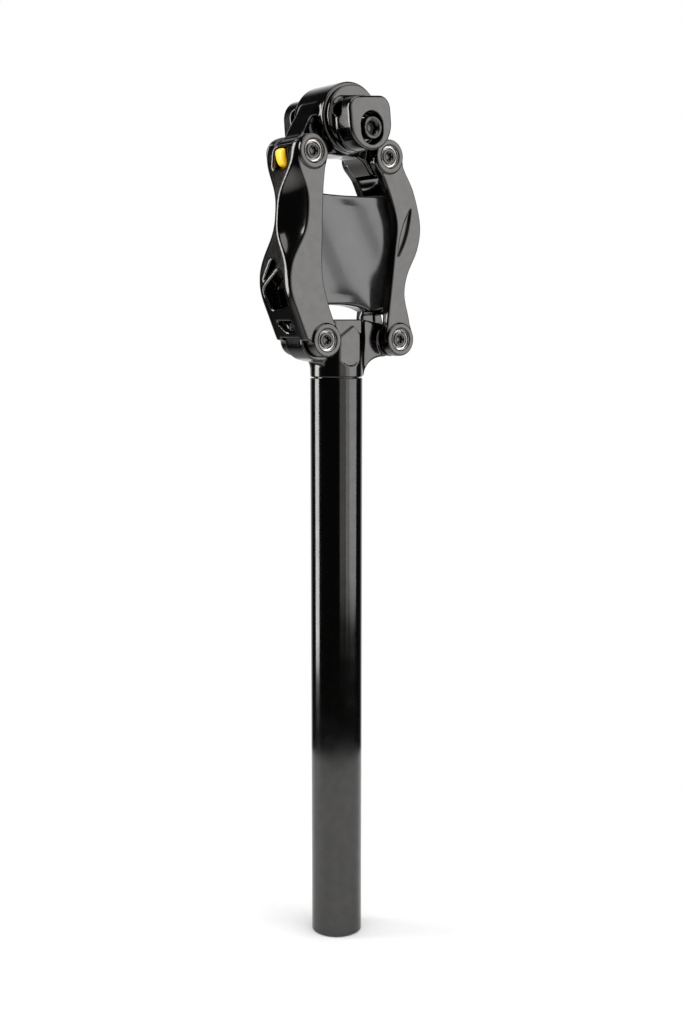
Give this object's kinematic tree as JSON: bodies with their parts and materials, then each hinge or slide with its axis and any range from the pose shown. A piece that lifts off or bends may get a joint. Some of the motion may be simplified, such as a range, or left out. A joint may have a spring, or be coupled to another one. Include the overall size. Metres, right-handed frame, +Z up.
{
  "type": "suspension seatpost",
  "caption": "Parallelogram suspension seatpost: round post, two pivoting links with a rubber spring between them, and a side-bolt clamp for the saddle rails.",
  "frame": {"origin": "centre of the post tube's open bottom end", "axes": "+Z up along the post, +X to the front of the bicycle, +Y to its left"},
  "size_m": [0.0959, 0.0706, 0.5211],
  "materials": {
    "gloss_black_alloy": "gloss black anodised forging",
    "satin_black_tube": "gloss black anodised tube",
    "bright_steel": "machined, bright rim",
    "dark_steel": "black oxide",
    "bearing_plastic": "matt self-lubricating plastic",
    "elastomer_rubber": "satin moulded rubber",
    "yellow_bumper": "satin moulded rubber"
  },
  "bodies": {
    "root": {"post_tube": "satin_black_tube", "lower_yoke": "gloss_black_alloy", "lower_rear_bushing_right": "bearing_plastic", "lower_rear_bushing_left": "bearing_plastic", "lower_front_bushing_right": "bearing_plastic", "lower_front_bushing_left": "bearing_plastic"},
    "rear_link": {"rear_link": "gloss_black_alloy", "top_out_bumper": "yellow_bumper", "elastomer": "elastomer_rubber", "lower_rear_axle": "dark_steel", "lower_rear_axle_washer_right": "bright_steel", "lower_rear_axle_bolt_right": "dark_steel", "lower_rear_axle_washer_left": "bright_steel", "lower_rear_axle_bolt_left": "dark_steel", "upper_rear_axle": "dark_steel", "upper_rear_axle_washer_right": "bright_steel", "upper_rear_axle_bolt_right": "dark_steel", "upper_rear_axle_washer_left": "bright_steel", "upper_rear_axle_bolt_left": "dark_steel"},
    "front_link": {"front_link": "gloss_black_alloy", "lower_front_axle": "dark_steel", "lower_front_axle_washer_right": "bright_steel", "lower_front_axle_bolt_right": "dark_steel", "lower_front_axle_washer_left": "bright_steel", "lower_front_axle_bolt_left": "dark_steel", "upper_front_axle": "dark_steel", "upper_front_axle_washer_right": "bright_steel", "upper_front_axle_bolt_right": "dark_steel", "upper_front_axle_washer_left": "bright_steel", "upper_front_axle_bolt_left": "dark_steel"},
    "head": {"head": "gloss_black_alloy", "upper_rear_bushing_right": "bearing_plastic", "upper_rear_bushing_left": "bearing_plastic", "upper_front_bushing_right": "bearing_plastic", "upper_front_bushing_left": "bearing_plastic"},
    "clamp": {"inner_clamp_right": "gloss_black_alloy", "inner_clamp_left": "gloss_black_alloy"},
    "right_jaw": {"outer_clamp_right": "gloss_black_alloy", "clamp_bolt": "dark_steel", "clamp_bolt_washer": "bright_steel"},
    "left_jaw": {"outer_clamp_left": "gloss_black_alloy", "clamp_nut": "dark_steel"}
  },
  "joints": [
    {"name": "suspension", "type": "hinge", "parent": "root", "child": "rear_link", "pos_m": [-0.0189, 0, 0.3738], "axis": [0, -1, 0], "range_deg": [0, 48], "stiffness_Nm_per_rad": 30, "deforming": ["elastomer"]},
    {"name": "front_link_pivot", "type": "hinge", "parent": "root", "child": "front_link", "pos_m": [0.0353, 0, 0.3738], "axis": [0, -1, 0], "range_deg": [0, 48]},
    {"name": "head_pivot", "type": "hinge", "parent": "rear_link", "child": "head", "pos_m": [-0.02787, 0, 0.48062], "axis": [0, -1, 0], "range_deg": [-48, 0]},
    {"name": "clamp_tilt", "type": "hinge", "parent": "head", "child": "clamp", "pos_m": [0, 0, 0.50112], "axis": [0, -1, 0], "range_deg": [-15, 10]},
    {"name": "right_jaw_slide", "type": "slide", "parent": "clamp", "child": "right_jaw", "axis": [0, -1, 0], "range_m": [0, 0.005]},
    {"name": "left_jaw_slide", "type": "slide", "parent": "clamp", "child": "left_jaw", "axis": [0, 1, 0], "range_m": [0, 0.005]}
  ],
  "couplings": [
    {"joint": "front_link_pivot", "follows": "suspension", "ratio": 1},
    {"joint": "head_pivot", "follows": "suspension", "ratio": -1}
  ]
}
